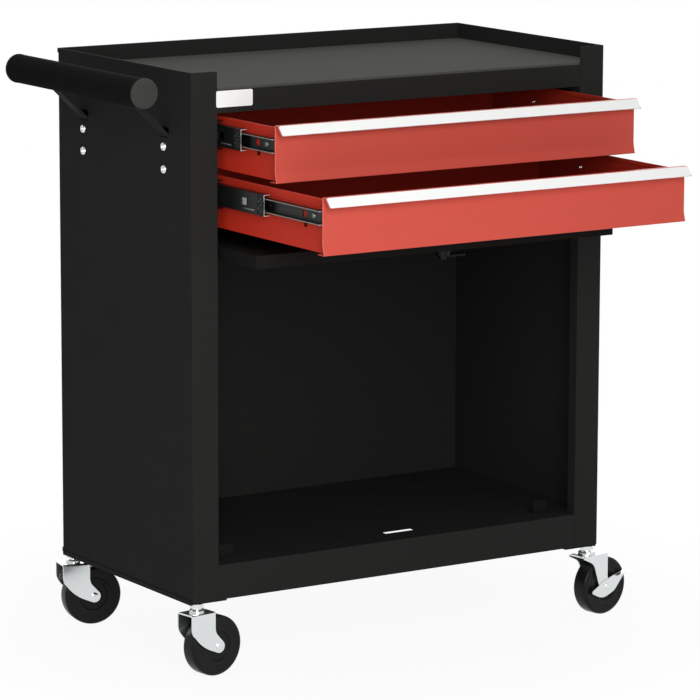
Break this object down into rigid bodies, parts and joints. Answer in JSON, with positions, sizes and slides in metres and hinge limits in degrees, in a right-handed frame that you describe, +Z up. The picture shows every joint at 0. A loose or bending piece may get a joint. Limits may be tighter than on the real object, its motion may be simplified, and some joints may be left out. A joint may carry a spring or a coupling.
{
  "type": "rolling tool cabinet",
  "caption": "Rolling tool cabinet with a tray top, telescopic drawers, a receding door over a compartment, a side push handle and swivel casters.",
  "frame": {"origin": "centre of the top mat, on its upper face", "axes": "+Z up, -Y out of the front with its drawers and door, +X to the right seen from the front, so the handle is on the -X side"},
  "size_m": [0.7408, 0.6288, 0.748],
  "materials": {
    "black_coat": "semi-matt powder coat",
    "red_coat": "satin powder coat",
    "white_plastic": "smooth moulding",
    "tray_mat": "fine grain",
    "slide_steel": "thin black coat over steel",
    "cage_steel": "bright stamped steel",
    "zinc_steel": "bright zinc plating",
    "black_nylon": "moulded nylon",
    "wheel_plastic": "hard moulded tread",
    "grip_foam": "fine closed foam",
    "lock_chrome": "polished face"
  },
  "bodies": {
    "cabinet": {"side_panel_left": "black_coat", "side_panel_right": "black_coat", "back_panel": "black_coat", "base_pan": "black_coat", "top_tray": "black_coat", "top_mat": "tray_mat", "slide_carrier_left": "black_coat", "slide_carrier_right": "black_coat", "door_guide_left": "black_coat", "door_guide_right": "black_coat", "door_stops": "black_coat", "corner_plates": "zinc_steel", "caster_stems": "zinc_steel", "handle_bracket_front": "black_coat", "handle_bracket_rear": "black_coat", "handle_core": "black_coat", "handle_grip": "grip_foam", "handle_caps": "black_nylon", "handle_screws": "zinc_steel", "upper_left_slide_fixed": "slide_steel", "upper_right_slide_fixed": "slide_steel", "lower_left_slide_fixed": "slide_steel", "lower_right_slide_fixed": "slide_steel"},
    "upper_drawer": {"upper_drawer_box": "red_coat", "upper_drawer_front": "red_coat", "upper_drawer_trim": "white_plastic", "upper_left_slide_inner": "slide_steel", "upper_right_slide_inner": "slide_steel"},
    "upper_middle_members": {"upper_left_slide_middle": "slide_steel", "upper_right_slide_middle": "slide_steel"},
    "upper_outer_ball_cages": {"upper_outer_cages": "cage_steel"},
    "upper_inner_ball_cages": {"upper_inner_cages": "cage_steel"},
    "lower_drawer": {"lower_drawer_box": "red_coat", "lower_drawer_front": "red_coat", "lower_drawer_trim": "white_plastic", "lower_left_slide_inner": "slide_steel", "lower_right_slide_inner": "slide_steel"},
    "lower_middle_members": {"lower_left_slide_middle": "slide_steel", "lower_right_slide_middle": "slide_steel"},
    "lower_outer_ball_cages": {"lower_outer_cages": "cage_steel"},
    "lower_inner_ball_cages": {"lower_inner_cages": "cage_steel"},
    "door_carriage": {"door_shoe_left": "black_nylon", "door_shoe_right": "black_nylon"},
    "door": {"door_panel": "black_coat", "lock_barrel": "lock_chrome"},
    "lock_tongue": {"lock_cam": "zinc_steel"},
    "caster_front_left": {"caster_fork_front_left": "zinc_steel", "caster_axle_front_left": "zinc_steel"},
    "wheel_front_left": {"caster_wheel_front_left": "wheel_plastic"},
    "caster_rear_left": {"caster_fork_rear_left": "zinc_steel", "caster_axle_rear_left": "zinc_steel"},
    "wheel_rear_left": {"caster_wheel_rear_left": "wheel_plastic"},
    "caster_front_right": {"caster_fork_front_right": "zinc_steel", "caster_axle_front_right": "zinc_steel"},
    "wheel_front_right": {"caster_wheel_front_right": "wheel_plastic"},
    "brake_front_right": {"brake_pedal_front_right": "zinc_steel"},
    "caster_rear_right": {"caster_fork_rear_right": "zinc_steel", "caster_axle_rear_right": "zinc_steel"},
    "wheel_rear_right": {"caster_wheel_rear_right": "wheel_plastic"},
    "brake_rear_right": {"brake_pedal_rear_right": "zinc_steel"}
  },
  "joints": [
    {"name": "upper_drawer_slide", "type": "slide", "parent": "cabinet", "child": "upper_drawer", "axis": [0, -1, 0], "range_m": [-0.1235, 0.1765]},
    {"name": "upper_middle_slide", "type": "slide", "parent": "cabinet", "child": "upper_middle_members", "axis": [0, -1, 0], "range_m": [-0.06175, 0.08825]},
    {"name": "upper_outer_cage_slide", "type": "slide", "parent": "cabinet", "child": "upper_outer_ball_cages", "axis": [0, -1, 0], "range_m": [-0.03087, 0.04412]},
    {"name": "upper_inner_cage_slide", "type": "slide", "parent": "cabinet", "child": "upper_inner_ball_cages", "axis": [0, -1, 0], "range_m": [-0.09262, 0.13237]},
    {"name": "lower_drawer_slide", "type": "slide", "parent": "cabinet", "child": "lower_drawer", "axis": [0, -1, 0], "range_m": [-0.229, 0.071]},
    {"name": "lower_middle_slide", "type": "slide", "parent": "cabinet", "child": "lower_middle_members", "axis": [0, -1, 0], "range_m": [-0.1145, 0.0355]},
    {"name": "lower_outer_cage_slide", "type": "slide", "parent": "cabinet", "child": "lower_outer_ball_cages", "axis": [0, -1, 0], "range_m": [-0.05725, 0.01775]},
    {"name": "lower_inner_cage_slide", "type": "slide", "parent": "cabinet", "child": "lower_inner_ball_cages", "axis": [0, -1, 0], "range_m": [-0.17175, 0.05325]},
    {"name": "door_travel", "type": "slide", "parent": "cabinet", "child": "door_carriage", "axis": [0, -1, 0], "range_m": [0, 0.2787]},
    {"name": "door_swing", "type": "hinge", "parent": "door_carriage", "child": "door", "pos_m": [0, 0.1382, -0.2021], "axis": [1, 0, 0], "range_deg": [0, 90]},
    {"name": "lock_turn", "type": "hinge", "parent": "door", "child": "lock_tongue", "pos_m": [0.02, -0.2235, -0.2188], "axis": [0, 0, -1], "range_deg": [0, 90]},
    {"name": "swivel_front_left", "type": "hinge", "parent": "cabinet", "child": "caster_front_left", "pos_m": [-0.295, -0.157, -0.6452], "axis": [0, 0, 1], "continuous": true},
    {"name": "roll_front_left", "type": "hinge", "parent": "caster_front_left", "child": "wheel_front_left", "pos_m": [-0.27143, -0.15369, -0.69], "axis": [-0.1392, 0.9903, 0], "continuous": true},
    {"name": "swivel_rear_left", "type": "hinge", "parent": "cabinet", "child": "caster_rear_left", "pos_m": [-0.295, 0.157, -0.6452], "axis": [0, 0, 1], "continuous": true},
    {"name": "roll_rear_left", "type": "hinge", "parent": "caster_rear_left", "child": "wheel_rear_left", "pos_m": [-0.27152, 0.15311, -0.69], "axis": [0.1633, 0.9866, 0], "continuous": true},
    {"name": "swivel_front_right", "type": "hinge", "parent": "cabinet", "child": "caster_front_right", "pos_m": [0.295, -0.157, -0.6452], "axis": [0, 0, 1], "continuous": true},
    {"name": "roll_front_right", "type": "hinge", "parent": "caster_front_right", "child": "wheel_front_right", "pos_m": [0.31847, -0.15307, -0.69], "axis": [-0.165, 0.9863, 0], "continuous": true},
    {"name": "brake_press_front_right", "type": "hinge", "parent": "caster_front_right", "child": "brake_front_right", "pos_m": [0.31847, -0.15307, -0.69], "axis": [-0.165, 0.9863, 0], "range_deg": [0, 25]},
    {"name": "swivel_rear_right", "type": "hinge", "parent": "cabinet", "child": "caster_rear_right", "pos_m": [0.295, 0.157, -0.6452], "axis": [0, 0, 1], "continuous": true},
    {"name": "roll_rear_right", "type": "hinge", "parent": "caster_rear_right", "child": "wheel_rear_right", "pos_m": [0.295, 0.1808, -0.69], "axis": [-1, 0, 0], "continuous": true},
    {"name": "brake_press_rear_right", "type": "hinge", "parent": "caster_rear_right", "child": "brake_rear_right", "pos_m": [0.295, 0.1808, -0.69], "axis": [-1, 0, 0], "range_deg": [0, 25]}
  ],
  "couplings": [
    {"joint": "upper_middle_slide", "follows": "upper_drawer_slide", "ratio": 0.5},
    {"joint": "upper_outer_cage_slide", "follows": "upper_drawer_slide", "ratio": 0.25},
    {"joint": "upper_inner_cage_slide", "follows": "upper_drawer_slide", "ratio": 0.75},
    {"joint": "lower_middle_slide", "follows": "lower_drawer_slide", "ratio": 0.5},
    {"joint": "lower_outer_cage_slide", "follows": "lower_drawer_slide", "ratio": 0.25},
    {"joint": "lower_inner_cage_slide", "follows": "lower_drawer_slide", "ratio": 0.75}
  ]
}
